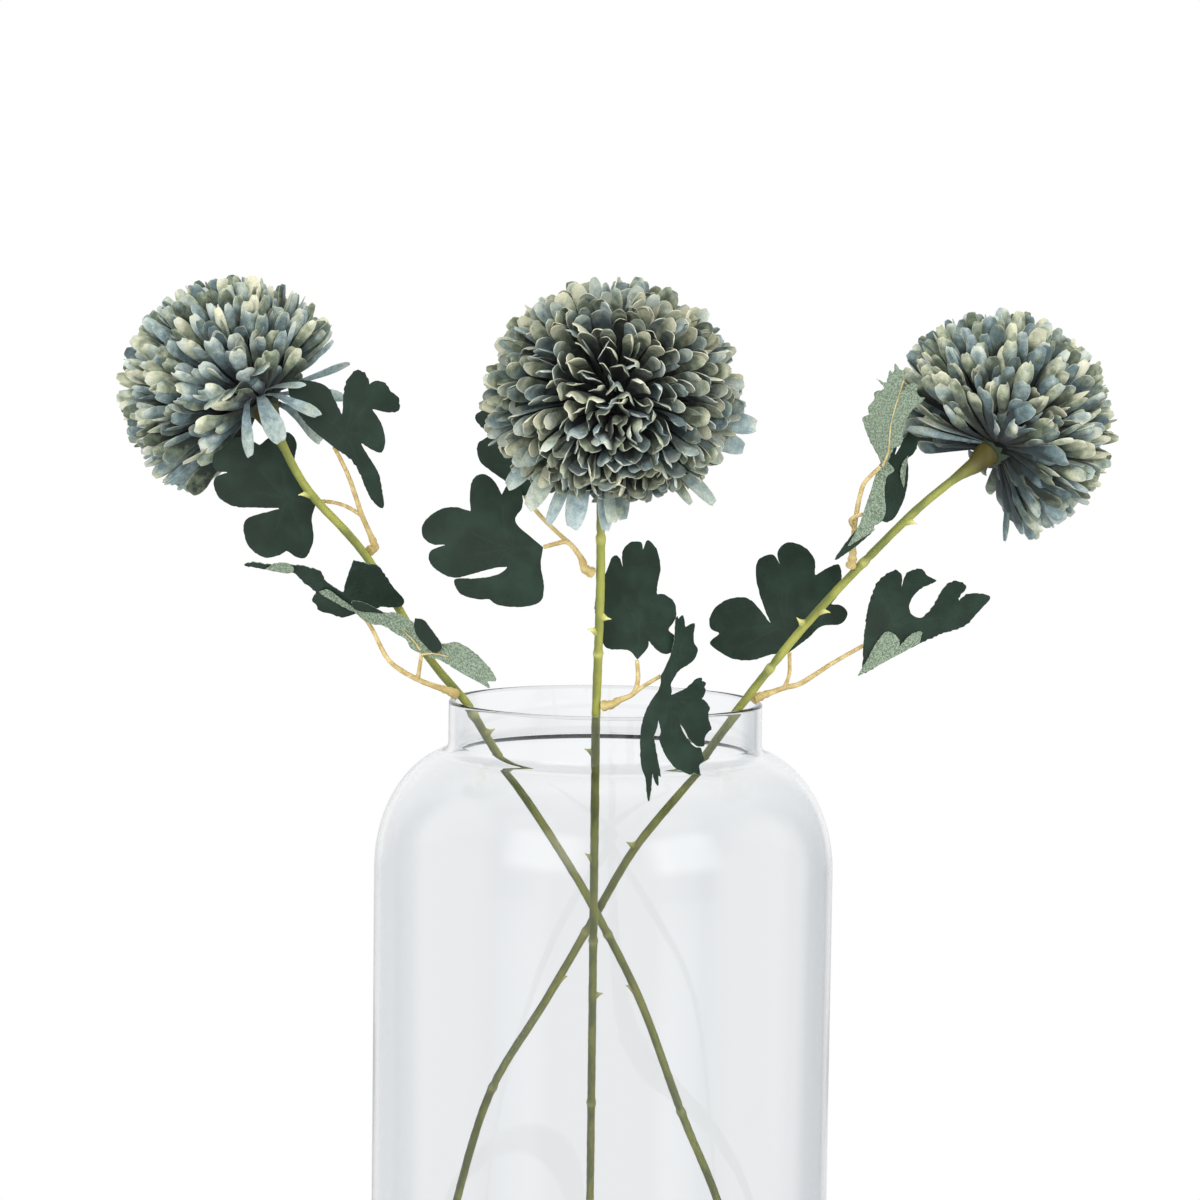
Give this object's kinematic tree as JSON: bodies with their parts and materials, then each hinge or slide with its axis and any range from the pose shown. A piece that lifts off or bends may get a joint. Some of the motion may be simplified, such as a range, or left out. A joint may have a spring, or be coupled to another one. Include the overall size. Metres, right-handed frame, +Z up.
{
  "type": "chrysanthemum in bottle",
  "caption": "Fabric pompon chrysanthemums on thorny stems with forked leafy twigs, standing in a wide clear glass bottle with round shoulders and a short neck",
  "frame": {"origin": "centre of the bottle's flat foot", "axes": "+Z up, the middle flower faces -Y, the right flower is towards +X"},
  "size_m": [0.4282, 0.2971, 0.5172],
  "materials": {
    "clear_glass": "clear, polished",
    "stem_plastic": "olive, satin",
    "calyx_plastic": "dark green, matt",
    "petal_fabric": "slate blue fading to sage tips, matt",
    "twig_plastic": "tan, satin",
    "leaf_fabric": "dark green satin above, pale sage weave below"
  },
  "bodies": {
    "root": {"glass_bottle": "clear_glass", "stem_left": "stem_plastic", "stem_middle": "stem_plastic", "stem_right": "stem_plastic", "calyx_left": "calyx_plastic", "calyx_middle": "calyx_plastic", "calyx_right": "calyx_plastic", "bloom_left": "petal_fabric", "bloom_middle": "petal_fabric", "bloom_right": "petal_fabric", "twig_left_upper": "twig_plastic", "twig_left_lower": "twig_plastic", "twig_middle_upper": "twig_plastic", "twig_middle_lower": "twig_plastic", "twig_right_upper": "twig_plastic", "twig_right_lower": "twig_plastic", "leaf_left_upper_1": "leaf_fabric", "leaf_left_upper_2": "leaf_fabric", "leaf_left_lower_1": "leaf_fabric", "leaf_left_lower_2": "leaf_fabric", "leaf_middle_upper_1": "leaf_fabric", "leaf_middle_upper_2": "leaf_fabric", "leaf_middle_lower_1": "leaf_fabric", "leaf_middle_lower_2": "leaf_fabric", "leaf_right_upper_1": "leaf_fabric", "leaf_right_upper_2": "leaf_fabric", "leaf_right_lower_1": "leaf_fabric", "leaf_right_lower_2": "leaf_fabric"}
  },
  "joints": []
}
